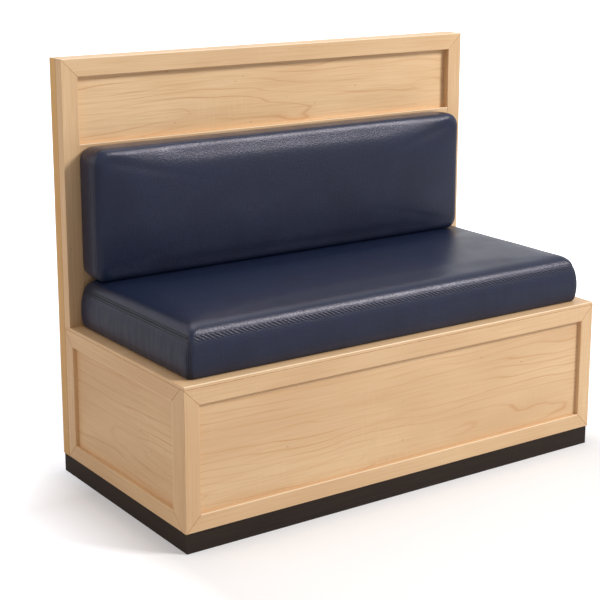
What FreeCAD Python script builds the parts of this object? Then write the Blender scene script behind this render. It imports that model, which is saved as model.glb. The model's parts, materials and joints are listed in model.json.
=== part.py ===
import FreeCAD, Part

import math
import os

# A single restaurant booth: a panelled maple box on a dark plinth, a tall
# panelled back, a loose seat cushion and a back cushion hung on a cleat.
# Millimetres, +Z up, +X to the right of someone facing the booth, the front
# faces -Y and the origin is on the floor under the middle of the booth.

# Overall sizes
booth_width = 1220.0
booth_depth = 606.0
booth_height = 1036.0
deck_height = 386.0
plinth_height = 48.0

# Plinth
plinth_board = 18.0
plinth_setback = 3.0
crosser_spacing = 300.0
plinth_block_size = 32.0
plinth_block_lift = 8.0

# Panelled faces of the box
box_frame_width = 38.5
box_frame_thickness = 16.0
box_panel_thickness = 6.0
box_rebate_width = 8.0

# Inner box of plywood
box_board = 15.0
divider_spacing = 400.0
batten_size = 25.0
subdeck_thickness = 18.0
cap_thickness = 8.0
cap_edge_radius = 1.8

# Rear frame, and the face frame that stands in front of it on the deck
back_member_width = 43.0
rear_frame_depth = 32.0
face_frame_depth = 28.0
back_rebate_width = 10.0
back_panel_thickness = 10.0
back_skin_thickness = 6.0
deck_rail_height = 60.0
deck_rail_below_deck = 43.0
mid_rail_share = 0.667
rail_behind_cushion = 40.0
rail_set_in = 0.8
stud_width = 40.0
stud_spacing = 300.0
edge_ease = 1.2
panel_play = 0.5

# Cleat that carries the back cushion
cleat_thickness = 16.0
cleat_length = 900.0
cleat_gap = 0.3
cleat_back_gap = 2.0
wall_cleat_height = 40.0
cushion_cleat_height = 40.0
cleat_bevel_share = 0.5

# Seat cushion
seat_side_margin = 26.0
seat_front_margin = 25.0
seat_rear_gap = 2.0
seat_seam_height = 91.0
seat_edge_run = 28.0
seat_edge_rise = 23.0
seat_crown_rise = 4.0
seat_corner_radius = 14.0
seat_base_draw_in = 9.0
seat_seam_draw_in = 9.0

# Back cushion, hung a little to the left of the middle
back_side_margin = 54.0
back_cushion_shift = -18.0
cushion_gap = 3.7
cushion_below_rail = 6.5
back_seam_depth = 76.0
back_edge_run = 26.0
back_edge_rise = 16.0
back_crown_rise = 10.0
back_corner_radius = 34.0
back_base_draw_in = 5.0
back_seam_draw_in = 2.0

# What both cushions are made of
cushion_board = 12.0
cover_thickness = 1.5
cover_gap = 0.3
cover_turn_under = 32.0
dust_cloth_thickness = 1.2
dust_cloth_play = 1.0
cushion_rest_gap = 0.3
side_step_shares = (0.0, 0.1, 0.25, 0.5, 0.75, 1.0)
edge_step_shares = (0.17, 0.34, 0.5, 0.67, 0.83, 1.0)
crown_step_shares = (0.12, 0.3, 0.55, 1.0)
crown_run_share = 0.68
corner_growth_share = 0.3
corner_limit_share = 0.8

# Wood screws
screw_radius = 2.25
screw_head_radius = 4.5
screw_head_depth = 3.0
screw_clearance = 0.05
short_screw = 24.0
long_screw = 40.0
screw_edge_margin = 60.0
wall_hole_radius = 3.5

# Extra length of a cutting tool past the face that it cuts
overrun = 1.0

# Degrees in a quarter turn
quarter_turn = 90.0

# Planes and edges that several pieces share
half_width = booth_width / 2
rear = booth_depth / 2
front = -booth_depth / 2
rear_frame_front = rear - rear_frame_depth
face_frame_front = rear_frame_front - face_frame_depth
box_frame_rear = front + box_frame_thickness
inner_half_width = half_width - box_frame_thickness
cap_bottom = deck_height - cap_thickness
subdeck_bottom = cap_bottom - subdeck_thickness
box_floor_top = plinth_height + box_board
side_frame_length = rear_frame_front - box_frame_rear
box_frame_height = cap_bottom - plinth_height
opening_half_width = half_width - back_member_width
seat_thickness = seat_seam_height + seat_edge_rise + seat_crown_rise
seat_top = deck_height + cushion_rest_gap + seat_thickness
back_cushion_bottom = seat_top + cushion_gap
back_opening_top = booth_height - back_member_width
back_opening_height = back_opening_top - back_cushion_bottom
mid_rail_top = back_cushion_bottom + mid_rail_share * back_opening_height
mid_rail_bottom = mid_rail_top - back_member_width
back_cushion_height = mid_rail_top - cushion_below_rail - back_cushion_bottom
back_cushion_rear = face_frame_front - cushion_rest_gap
low_rail_top = back_cushion_bottom + rail_behind_cushion

# Recess behind the back cushion, where its cleats hang
recess_height = mid_rail_bottom - low_rail_top
lower_panel_front = rear_frame_front - back_panel_thickness
wall_cleat_front = lower_panel_front - cleat_thickness
cleat_bevel = low_rail_top + cleat_bevel_share * recess_height
cleat_foot = cleat_bevel - wall_cleat_height
cleat_top = cleat_bevel + cushion_cleat_height


def block(low, high):
    """Box between two opposite corners."""
    size = [high[axis] - low[axis] for axis in range(3)]
    return Part.makeBox(size[0], size[1], size[2], FreeCAD.Vector(*low))


def outline(corners, to_space):
    """Closed wire through (a, b, radius) corners, each rounded by an arc."""
    count = len(corners)
    starts = []
    ends = []
    middles = []
    for index, (a, b, radius) in enumerate(corners):
        here = FreeCAD.Vector(a, b, 0)
        before = FreeCAD.Vector(*corners[index - 1][:2], 0) - here
        after = FreeCAD.Vector(*corners[(index + 1) % count][:2], 0) - here
        half_turn = before.getAngle(after) / 2
        before.normalize()
        after.normalize()
        reach = radius / math.tan(half_turn)
        inward = (before + after).normalize()
        starts.append(here + before * reach)
        ends.append(here + after * reach)
        middles.append(here + inward * (radius / math.sin(half_turn) - radius))
    edges = []
    for index, corner in enumerate(corners):
        if corner[2] > 0:
            points = (starts[index], middles[index], ends[index])
            arc = Part.Arc(*[to_space(point.x, point.y) for point in points])
            edges.append(arc.toShape())
        run = (ends[index], starts[(index + 1) % count])
        line = Part.LineSegment(*[to_space(point.x, point.y) for point in run])
        edges.append(line.toShape())
    return Part.Wire(edges)


def prism(corners, to_space, direction):
    """Solid from an outline pushed along a direction."""
    return Part.Face(outline(corners, to_space)).extrude(direction)


def rail_section(width, thickness, rebate_width, rebate_depth, eased, rebated):
    """Corners of a frame member: (across, depth, radius), face at depth 0.

    eased and rebated each say it for the outer and for the inner edge.
    """
    outer_ease = edge_ease if eased[0] else 0
    inner_ease = edge_ease if eased[1] else 0
    corners = [(0, 0, outer_ease), (width, 0, inner_ease)]
    shoulder = thickness - rebate_depth
    if rebated[1]:
        corners += [(width, shoulder, 0), (width - rebate_width, shoulder, 0)]
        corners += [(width - rebate_width, thickness, 0)]
    else:
        corners += [(width, thickness, 0)]
    if rebated[0]:
        corners += [(rebate_width, thickness, 0), (rebate_width, shoulder, 0)]
        corners += [(0, shoulder, 0)]
    else:
        corners += [(0, thickness, 0)]
    return corners


def mitre_cut(solid, corners, thickness):
    """Keep what lies inside a flat outline, through the whole thickness."""
    flat = [(a, b, 0) for a, b in corners]
    mask = prism(flat, lambda a, b: FreeCAD.Vector(a, -overrun, b),
                 FreeCAD.Vector(0, thickness + 2 * overrun, 0))
    return solid.common(mask)


def left_stile(section, length):
    """Upright whose outer edge is at x = 0."""
    return prism(section, lambda a, b: FreeCAD.Vector(a, b, 0),
                 FreeCAD.Vector(0, 0, length))


def right_stile(section, span, length):
    """Upright whose outer edge is at x = span."""
    return prism(section, lambda a, b: FreeCAD.Vector(span - a, b, 0),
                 FreeCAD.Vector(0, 0, length))


def bottom_rail(section, span):
    """Rail whose outer edge is at z = 0."""
    return prism(section, lambda a, b: FreeCAD.Vector(0, b, a),
                 FreeCAD.Vector(span, 0, 0))


def top_rail(section, span, height):
    """Rail whose outer edge is at z = height."""
    return prism(section, lambda a, b: FreeCAD.Vector(0, b, height - a),
                 FreeCAD.Vector(span, 0, 0))


def box_face(span, height):
    """Four mitred members and their panel, face at y = 0, from the corner."""
    width = box_frame_width
    thickness = box_frame_thickness
    section = rail_section(width, thickness, box_rebate_width,
                           box_panel_thickness, (True, True), (False, True))
    pieces = {
        "left_stile": mitre_cut(
            left_stile(section, height),
            [(0, 0), (width, width), (width, height - width), (0, height)],
            thickness),
        "right_stile": mitre_cut(
            right_stile(section, span, height),
            [(span, 0), (span, height), (span - width, height - width),
             (span - width, width)], thickness),
        "bottom_rail": mitre_cut(
            bottom_rail(section, span),
            [(0, 0), (span, 0), (span - width, width), (width, width)],
            thickness),
        "top_rail": mitre_cut(
            top_rail(section, span, height),
            [(0, height), (width, height - width),
             (span - width, height - width), (span, height)], thickness),
    }
    edge = width - box_rebate_width + panel_play
    pieces["panel"] = block(
        (edge, thickness - box_panel_thickness, edge),
        (span - edge, thickness, height - edge))
    return pieces


def turned(solid, angle, origin):
    """Copy of a face piece turned about Z and moved to its corner."""
    placed = solid.copy()
    placed.rotate(FreeCAD.Vector(), FreeCAD.Vector(0, 0, 1), angle)
    placed.translate(FreeCAD.Vector(*origin))
    return placed


def box_faces():
    """Panelled front and sides of the box, as named pieces."""
    nodes = {}
    for name, solid in box_face(booth_width, box_frame_height).items():
        origin = (-half_width, front, plinth_height)
        nodes["front_" + name] = turned(solid, 0, origin)
    # Seen from outside, the left end has its front stile on the right
    left_names = {"left_stile": "rear_stile", "right_stile": "front_stile"}
    right_names = {"left_stile": "front_stile", "right_stile": "rear_stile"}
    ends = (("left_", left_names, -quarter_turn,
             (-half_width, rear_frame_front)),
            ("right_", right_names, quarter_turn,
             (half_width, box_frame_rear)))
    end_face = box_face(side_frame_length, box_frame_height)
    for side, stile_names, angle, (x, y) in ends:
        for name, solid in end_face.items():
            label = stile_names.get(name, name)
            placed = turned(solid, angle, (x, y, plinth_height))
            nodes[side + label] = placed
    return nodes


def face_frame():
    """Face frame of the back: mitred stiles and top rail, two inner rails."""
    width = back_member_width
    depth = face_frame_depth
    height = booth_height - deck_height
    section = rail_section(width, depth, back_rebate_width,
                           back_panel_thickness, (True, True), (False, True))
    top = [(0, height), (width, height - width),
           (booth_width - width, height - width), (booth_width, height)]
    pieces = {
        "face_stile_left": mitre_cut(
            left_stile(section, height),
            [(0, 0), (width, 0), (width, height - width), (0, height)],
            depth),
        "face_stile_right": mitre_cut(
            right_stile(section, booth_width, height),
            [(booth_width - width, 0), (booth_width, 0),
             (booth_width, height), (booth_width - width, height - width)],
            depth),
        "face_top_rail": mitre_cut(
            top_rail(section, booth_width, height), top, depth),
    }
    rail_span = 2 * opening_half_width
    rail_depth = depth - rail_set_in
    mid = rail_section(width, rail_depth, back_rebate_width,
                       back_panel_thickness, (True, True), (True, True))
    low_height = low_rail_top - deck_height
    low = rail_section(low_height, rail_depth, back_rebate_width,
                       back_panel_thickness, (False, True), (False, True))
    mid_rail = bottom_rail(mid, rail_span)
    mid_rail.translate(
        FreeCAD.Vector(width, rail_set_in, mid_rail_bottom - deck_height))
    low_rail = bottom_rail(low, rail_span)
    low_rail.translate(FreeCAD.Vector(width, rail_set_in, 0))
    pieces["face_mid_rail"] = mid_rail
    pieces["face_bottom_rail"] = low_rail
    for solid in pieces.values():
        solid.translate(
            FreeCAD.Vector(-half_width, face_frame_front, deck_height))
    return pieces


def back_panel(bottom, top):
    """Recessed panel of the back between two rails' edges."""
    reach = back_rebate_width - panel_play
    return block(
        (-opening_half_width - reach, lower_panel_front, bottom - reach),
        (opening_half_width + reach, rear_frame_front, top + reach))


def rear_frame():
    """Posts and rails behind the face frame, with the flush rear skin."""
    width = back_member_width
    depth = rear_frame_depth
    height = booth_height - plinth_height
    section = rail_section(width, depth, back_rebate_width,
                           back_skin_thickness, (False, False), (False, True))
    section[-1] = (0, depth, edge_ease)
    top = [(0, height), (width, height - width),
           (booth_width - width, height - width), (booth_width, height)]
    pieces = {
        "rear_post_left": mitre_cut(
            left_stile(section, height),
            [(0, 0), (width, 0), (width, height - width), (0, height)],
            depth),
        "rear_post_right": mitre_cut(
            right_stile(section, booth_width, height),
            [(booth_width - width, 0), (booth_width, 0),
             (booth_width, height), (booth_width - width, height - width)],
            depth),
        "rear_top_rail": mitre_cut(
            top_rail(section, booth_width, height), top, depth),
    }
    section[-1] = (0, depth, 0)
    foot = bottom_rail(section, 2 * opening_half_width)
    foot.translate(FreeCAD.Vector(width, 0, 0))
    pieces["rear_bottom_rail"] = foot
    for solid in pieces.values():
        solid.translate(
            FreeCAD.Vector(-half_width, rear_frame_front, plinth_height))
    rail_bottom = deck_height - deck_rail_below_deck
    pieces["rear_deck_rail"] = block(
        (-opening_half_width, rear_frame_front, rail_bottom),
        (opening_half_width, rear - back_skin_thickness,
         rail_bottom + deck_rail_height))
    reach = back_rebate_width - panel_play
    pieces["back_skin"] = block(
        (-opening_half_width - reach, rear - back_skin_thickness,
         plinth_height + width - reach),
        (opening_half_width + reach, rear, booth_height - width + reach))
    return pieces


def stud_places():
    """Middles of the upright studs between the panels and the skin."""
    return [-stud_spacing, 0, stud_spacing]


def back_studs():
    """Upright studs that tie the deck rail to the top rail."""
    bottom = deck_height - deck_rail_below_deck + deck_rail_height
    return [block((x - stud_width / 2, rear_frame_front, bottom),
                  (x + stud_width / 2, rear - back_skin_thickness,
                   back_opening_top))
            for x in stud_places()]


def plinth():
    """Plinth boards, crossers and corner blocks."""
    outer = half_width - plinth_setback
    inner = outer - plinth_board
    face = front + plinth_setback
    back = rear - plinth_board
    pieces = {
        "plinth_front": block((-outer, face, 0),
                              (outer, face + plinth_board, plinth_height)),
        "plinth_rear": block((-outer, back, 0), (outer, rear, plinth_height)),
        "plinth_left": block((-outer, face + plinth_board, 0),
                             (-inner, back, plinth_height)),
        "plinth_right": block((inner, face + plinth_board, 0),
                              (outer, back, plinth_height)),
    }
    crossers = [block((x - plinth_board / 2, face + plinth_board, 0),
                      (x + plinth_board / 2, back, plinth_height))
                for x in crosser_places()]
    blocks = []
    for x, y in plinth_block_places():
        half = plinth_block_size / 2
        blocks.append(block((x - half, y - half, plinth_block_lift),
                            (x + half, y + half, plinth_height)))
    return pieces, crossers, blocks


def crosser_places():
    """Middles of the plinth's cross boards."""
    return [-crosser_spacing, 0, crosser_spacing]


def plinth_block_places():
    """Middles of the four blocks in the plinth's inner corners."""
    half = plinth_block_size / 2
    x = half_width - plinth_setback - plinth_board - half
    near = front + plinth_setback + plinth_board + half
    far = rear - plinth_board - half
    return [(side * x, y) for side in (-1, 1) for y in (near, far)]


def inner_box():
    """Plywood box behind the panelled faces, with its deck."""
    front_back = box_frame_rear + box_board
    side_inner = inner_half_width - box_board
    pieces = {
        "box_floor": block(
            (-inner_half_width, box_frame_rear, plinth_height),
            (inner_half_width, rear_frame_front, box_floor_top)),
        "box_front_board": block(
            (-inner_half_width, box_frame_rear, box_floor_top),
            (inner_half_width, front_back, subdeck_bottom)),
        "box_side_left": block(
            (-inner_half_width, front_back, box_floor_top),
            (-side_inner, rear_frame_front, subdeck_bottom)),
        "box_side_right": block(
            (side_inner, front_back, box_floor_top),
            (inner_half_width, rear_frame_front, subdeck_bottom)),
        "seat_subdeck": block(
            (-inner_half_width, box_frame_rear, subdeck_bottom),
            (inner_half_width, rear_frame_front, cap_bottom)),
    }
    dividers = [block((x - box_board / 2, front_back, box_floor_top),
                      (x + box_board / 2, rear_frame_front, subdeck_bottom))
                for x in divider_places()]
    battens = []
    for side in (-1, 1):
        low_x, high_x = sorted((side * side_inner,
                                side * (side_inner - batten_size)))
        for y in (front_back, rear_frame_front - batten_size):
            battens.append(block((low_x, y, box_floor_top),
                                 (high_x, y + batten_size, subdeck_bottom)))
    return pieces, dividers, battens


def divider_places():
    """Middles of the upright boards inside the box."""
    return [-divider_spacing / 2, divider_spacing / 2]


def deck_cap():
    """Thin solid board over the deck, its seen edges rounded."""
    cap = block((-half_width, front, cap_bottom),
                (half_width, rear_frame_front, deck_height))
    seen = []
    for edge in cap.Edges:
        middle = edge.CenterOfMass
        at_top = abs(middle.z - deck_height) < overrun
        at_rear = abs(middle.y - rear_frame_front) < overrun
        upright = abs(middle.z - cap_bottom - cap_thickness / 2) < overrun
        if (at_top or upright) and not at_rear:
            seen.append(edge)
    radius = min(cap_edge_radius, cap_thickness / 2)
    return cap.makeFillet(radius, seen)


def side_inset(size, height):
    """Inset of a cushion's side at a height up to its seam."""
    middle = size["seam"] / 2
    drawn = size["base_in"] if height < middle else size["seam_in"]
    return drawn * ((height - middle) / middle) ** 2


def cushion_steps(size):
    """Steps of a cushion's side, edge and crown as (height, inset) pairs."""
    steps = []
    for share in side_step_shares:
        height = share * size["seam"]
        steps.append((height, side_inset(size, height)))
    seam_inset = steps[-1][1]
    for share in edge_step_shares:
        angle = share * math.pi / 2
        run = size["edge_run"] * (1 - math.cos(angle))
        rise = size["edge_rise"] * math.sin(angle)
        steps.append((size["seam"] + rise, seam_inset + run))
    height, inset = steps[-1]
    half = min(size["width"], size["length"]) / 2
    crown_run = crown_run_share * (half - inset)
    for share in crown_step_shares:
        rise = size["crown_rise"] * (1 - (1 - share) ** 2)
        steps.append((height + rise, inset + share * crown_run))
    return steps


def cushion_section(size, height, inset):
    """Rounded rectangle of a cushion at one height."""
    half_x = size["width"] / 2 - inset
    half_y = size["length"] / 2 - inset
    radius = min(size["corner"] + corner_growth_share * inset,
                 corner_limit_share * min(half_x, half_y))
    corners = [(-half_x, -half_y, radius), (half_x, -half_y, radius),
               (half_x, half_y, radius), (-half_x, half_y, radius)]
    return outline(corners, lambda a, b: FreeCAD.Vector(a, b, height))


def cushion_body(size, bottom, skin):
    """Crowned solid from a height up, with a skin peeled off all round."""
    sections = [cushion_section(size, bottom,
                                side_inset(size, bottom) + skin)]
    for height, inset in cushion_steps(size):
        above_seam = height > size["seam"]
        lowered = height - skin if above_seam else height
        if lowered > bottom + overrun:
            sections.append(cushion_section(size, lowered, inset + skin))
    return Part.makeLoft(sections, True, True)


def cushion_layers(size):
    """Cover, dust cloth, board and foam of one cushion, rear face at z = 0."""
    outer = cushion_body(size, 0, 0)
    cavity = cushion_body(size, cover_thickness, cover_thickness)
    half_x = size["width"] / 2 - cover_turn_under
    half_y = size["length"] / 2 - cover_turn_under
    window = block((-half_x, -half_y, -overrun),
                   (half_x, half_y, cover_thickness + overrun))
    cover = outer.cut([cavity, window])
    play = dust_cloth_play
    cloth = block((-half_x + play, -half_y + play,
                   cover_thickness - dust_cloth_thickness),
                  (half_x - play, half_y - play, cover_thickness))
    board_inset = size["base_in"] + cover_thickness + cover_gap
    board_top = cover_thickness + cushion_board
    corners = [(side_x * (size["width"] / 2 - board_inset),
                side_y * (size["length"] / 2 - board_inset), size["corner"])
               for side_x, side_y in ((-1, -1), (1, -1), (1, 1), (-1, 1))]
    board = prism(corners,
                  lambda a, b: FreeCAD.Vector(a, b, cover_thickness),
                  FreeCAD.Vector(0, 0, cushion_board))
    foam = cushion_body(size, board_top, cover_thickness + cover_gap)
    return {"cover": cover, "dust_cloth": cloth, "board": board,
            "foam": foam}


def seat_cushion():
    """Layers of the seat cushion, lying on the deck."""
    low_y = front + seat_front_margin
    high_y = face_frame_front - seat_rear_gap
    size = {"width": booth_width - 2 * seat_side_margin,
            "length": high_y - low_y, "seam": seat_seam_height,
            "edge_run": seat_edge_run, "edge_rise": seat_edge_rise,
            "crown_rise": seat_crown_rise, "corner": seat_corner_radius,
            "base_in": seat_base_draw_in, "seam_in": seat_seam_draw_in}
    origin = FreeCAD.Vector(0, (low_y + high_y) / 2,
                            deck_height + cushion_rest_gap)
    nodes = {}
    for name, solid in cushion_layers(size).items():
        solid.translate(origin)
        nodes["seat_" + name] = solid
    return nodes


def back_cushion():
    """Layers of the back cushion, its rear against the face frame."""
    size = {"width": booth_width - 2 * back_side_margin,
            "length": back_cushion_height, "seam": back_seam_depth,
            "edge_run": back_edge_run, "edge_rise": back_edge_rise,
            "crown_rise": back_crown_rise, "corner": back_corner_radius,
            "base_in": back_base_draw_in, "seam_in": back_seam_draw_in}
    origin = FreeCAD.Vector(back_cushion_shift, back_cushion_rear,
                            back_cushion_bottom + back_cushion_height / 2)
    nodes = {}
    for name, solid in cushion_layers(size).items():
        solid.rotate(FreeCAD.Vector(), FreeCAD.Vector(1, 0, 0), quarter_turn)
        solid.translate(origin)
        nodes["back_" + name] = solid
    return nodes


def wall_cleat():
    """Cleat on the lower panel: its top edge slopes down to the panel."""
    corners = [(wall_cleat_front, cleat_foot, 0),
               (lower_panel_front, cleat_foot, 0),
               (lower_panel_front, cleat_bevel - cleat_thickness, 0),
               (wall_cleat_front, cleat_bevel, 0)]
    return prism(corners,
                 lambda a, b: FreeCAD.Vector(-cleat_length / 2, a, b),
                 FreeCAD.Vector(cleat_length, 0, 0))


def cushion_cleat():
    """Cleat on the cushion: its bottom edge hooks behind the wall cleat."""
    near = back_cushion_rear
    far = lower_panel_front - cleat_back_gap
    bevel = cleat_bevel + cleat_gap * math.sqrt(2)
    start = back_cushion_shift - cleat_length / 2
    corners = [(near, bevel - (near - wall_cleat_front), 0),
               (far, bevel - (far - wall_cleat_front), 0),
               (far, cleat_top, 0), (near, cleat_top, 0)]
    return prism(corners, lambda a, b: FreeCAD.Vector(start, a, b),
                 FreeCAD.Vector(cleat_length, 0, 0))


def screw(length, play):
    """Countersunk screw, head flush at z = 0, pointing down; play widens."""
    shank = screw_radius + play
    head = screw_head_radius + play
    cone = Part.makeCone(shank, head, screw_head_depth,
                         FreeCAD.Vector(0, 0, -screw_head_depth))
    rod = Part.makeCylinder(shank, length - screw_head_depth + play,
                            FreeCAD.Vector(0, 0, -length - play))
    return cone.fuse(rod).removeSplitter()


def screws_at(places, length, turn_x):
    """Screws and the holes for them, at places, each turned about X."""
    rods = []
    holes = []
    for place in places:
        for play, kept in ((0, rods), (screw_clearance, holes)):
            solid = screw(length, play)
            solid.rotate(FreeCAD.Vector(), FreeCAD.Vector(1, 0, 0), turn_x)
            solid.translate(FreeCAD.Vector(*place))
            kept.append(solid)
    return rods, holes


def plinth_screw_places():
    """Heads of the screws that hold the box floor on the plinth."""
    reach = side_frame_length / 2 - screw_edge_margin
    middle = (rear_frame_front + box_frame_rear) / 2
    along = [(x, middle + share * reach, box_floor_top)
             for x in crosser_places() for share in (-1, 0, 1)]
    block_front = rear - plinth_board - plinth_block_size
    far = (block_front + rear_frame_front) / 2
    corners = [(x, min(y, far), box_floor_top)
               for x, y in plinth_block_places()]
    return along + corners


def deck_screw_places():
    """Heads of the screws that hold the subdeck on the box and dividers."""
    reach = side_frame_length / 2 - screw_edge_margin
    middle = (rear_frame_front + box_frame_rear) / 2
    side = inner_half_width - box_board / 2
    lines = [-side] + divider_places() + [side]
    return [(x, middle + share * reach, cap_bottom)
            for x in lines for share in (-1, 0, 1)]


def post_screw_places():
    """Heads of the screws from the rear battens into the posts."""
    x = (opening_half_width + inner_half_width - box_board) / 2
    reach = (subdeck_bottom - box_floor_top) / 2 - screw_edge_margin
    middle = (subdeck_bottom + box_floor_top) / 2
    return [(side * x, rear_frame_front - batten_size, middle + share * reach)
            for side in (-1, 1) for share in (-1, 0, 1)]


def cleat_screw_places(shift, y, z):
    """Heads of a cleat's three screws, spaced as the studs are."""
    return [(x + shift, y, z) for x in stud_places()]


def wall_holes():
    """Clearance holes through panel, stud and skin, for fixing to a wall."""
    start = lower_panel_front - overrun
    length = rear + overrun - start
    low = (low_rail_top + cleat_foot) / 2
    high = (cleat_top + mid_rail_bottom) / 2
    return [Part.makeCylinder(wall_hole_radius, length,
                              FreeCAD.Vector(x, start, z),
                              FreeCAD.Vector(0, 1, 0))
            for x in (-stud_spacing, stud_spacing) for z in (low, high)]


def cut_all(solids, tools):
    """Each solid of a list with the tools cut out of it."""
    return [solid.cut(tools) for solid in solids]


def assembly():
    """Every node of the booth by name."""
    nodes = {}
    plinth_boards, crossers, blocks = plinth()
    box_boards, dividers, battens = inner_box()
    nodes.update(plinth_boards)
    nodes.update(box_boards)
    nodes.update(box_faces())
    nodes.update(rear_frame())
    nodes.update(face_frame())
    nodes.update(seat_cushion())
    nodes.update(back_cushion())
    nodes["deck_cap"] = deck_cap()
    upper = back_panel(mid_rail_top, back_opening_top)
    lower = back_panel(low_rail_top, mid_rail_bottom)
    studs = back_studs()

    rods, holes = screws_at(plinth_screw_places(), long_screw, 0)
    nodes["plinth_screws"] = Part.makeCompound(rods)
    nodes["box_floor"] = nodes["box_floor"].cut(holes)
    nodes["plinth_crossers"] = Part.makeCompound(cut_all(crossers, holes))
    nodes["plinth_corner_blocks"] = Part.makeCompound(cut_all(blocks, holes))

    rods, holes = screws_at(deck_screw_places(), long_screw, 0)
    nodes["deck_screws"] = Part.makeCompound(rods)
    for name in ("seat_subdeck", "box_side_left", "box_side_right"):
        nodes[name] = nodes[name].cut(holes)
    nodes["box_dividers"] = Part.makeCompound(cut_all(dividers, holes))

    rods, holes = screws_at(post_screw_places(), long_screw, quarter_turn)
    nodes["post_screws"] = Part.makeCompound(rods)
    nodes["box_corner_battens"] = Part.makeCompound(cut_all(battens, holes))
    for name in ("rear_post_left", "rear_post_right"):
        nodes[name] = nodes[name].cut(holes)

    height = (cleat_foot + cleat_bevel - cleat_thickness) / 2
    places = cleat_screw_places(0, wall_cleat_front, height)
    rods, holes = screws_at(places, long_screw, quarter_turn)
    nodes["wall_cleat_screws"] = Part.makeCompound(rods)
    nodes["wall_cleat"] = wall_cleat().cut(holes)
    holes += wall_holes()
    nodes["upper_back_panel"] = upper
    nodes["lower_back_panel"] = lower.cut(holes)
    nodes["back_studs"] = Part.makeCompound(cut_all(studs, holes))
    nodes["back_skin"] = nodes["back_skin"].cut(holes)

    hook_face = lower_panel_front - cleat_back_gap
    height = (cleat_bevel + cleat_top) / 2
    places = cleat_screw_places(back_cushion_shift, hook_face, height)
    rods, holes = screws_at(places, short_screw, -quarter_turn)
    nodes["cushion_cleat_screws"] = Part.makeCompound(rods)
    nodes["cushion_cleat"] = cushion_cleat().cut(holes)
    for name in ("back_board", "back_dust_cloth"):
        nodes[name] = nodes[name].cut(holes)
    return nodes


def main():
    """Write one STEP file per node."""
    os.makedirs("parts", exist_ok=True)
    for name, shape in sorted(assembly().items()):
        print(name, len(shape.Solids), round(shape.Volume), shape.isValid())
        shape.exportStep(os.path.join("parts", name + ".step"))


main()
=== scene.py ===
"""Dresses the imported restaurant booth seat: maple woodwork, dark plinth, two leather cushions."""

import json
import logging
import math
import random
from collections.abc import Iterator
from contextlib import contextmanager
from dataclasses import dataclass
from enum import Enum

import bpy
import numpy as np
from mathutils import Matrix, Vector, noise
from mathutils.bvhtree import BVHTree
from mathutils.kdtree import KDTree


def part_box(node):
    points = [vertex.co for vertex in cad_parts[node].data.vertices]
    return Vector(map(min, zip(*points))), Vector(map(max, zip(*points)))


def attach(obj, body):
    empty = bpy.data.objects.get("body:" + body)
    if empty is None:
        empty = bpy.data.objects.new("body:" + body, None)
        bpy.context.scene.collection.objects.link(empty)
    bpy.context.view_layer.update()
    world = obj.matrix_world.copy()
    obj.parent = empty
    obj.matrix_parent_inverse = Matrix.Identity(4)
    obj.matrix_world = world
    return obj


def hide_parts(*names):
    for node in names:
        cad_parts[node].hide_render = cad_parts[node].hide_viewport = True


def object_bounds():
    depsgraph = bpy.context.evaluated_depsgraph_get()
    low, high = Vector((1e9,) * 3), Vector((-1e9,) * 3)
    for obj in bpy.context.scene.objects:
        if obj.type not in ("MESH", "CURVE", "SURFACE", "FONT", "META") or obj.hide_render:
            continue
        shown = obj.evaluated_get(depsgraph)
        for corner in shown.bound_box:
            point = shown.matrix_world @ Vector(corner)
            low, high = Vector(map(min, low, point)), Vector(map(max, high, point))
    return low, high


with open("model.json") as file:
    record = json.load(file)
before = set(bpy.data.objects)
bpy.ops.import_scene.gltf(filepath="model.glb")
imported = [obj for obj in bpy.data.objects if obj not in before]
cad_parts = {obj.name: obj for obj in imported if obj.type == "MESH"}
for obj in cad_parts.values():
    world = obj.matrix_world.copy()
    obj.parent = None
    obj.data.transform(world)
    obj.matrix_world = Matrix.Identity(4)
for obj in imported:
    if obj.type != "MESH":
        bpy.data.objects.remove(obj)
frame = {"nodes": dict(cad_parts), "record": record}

Material = bpy.types.Material
Piece = bpy.types.Object
Socket = bpy.types.NodeSocket
Triple = tuple[float, float, float]

MM = 0.001
ON_SEAM = 1e-5
SEAM_REACH = 20 * MM
STITCH_OFFSET = 5.4 * MM
CAD_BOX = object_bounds()
LOG = logging.getLogger("booth")


# Colours and nodes


def linear(code: str) -> tuple[float, float, float, float]:
    """Turns an sRGB hex colour into linear light.

    Args:
        code: the colour, such as "#DFB68D".

    Returns:
        Red, green, blue and an alpha of 1.
    """
    parts = [int(code[i : i + 2], 16) / 255 for i in (1, 3, 5)]
    red, green, blue = (
        p / 12.92 if p <= 0.04045 else ((p + 0.055) / 1.055) ** 2.4 for p in parts
    )
    return red, green, blue, 1.0


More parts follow.
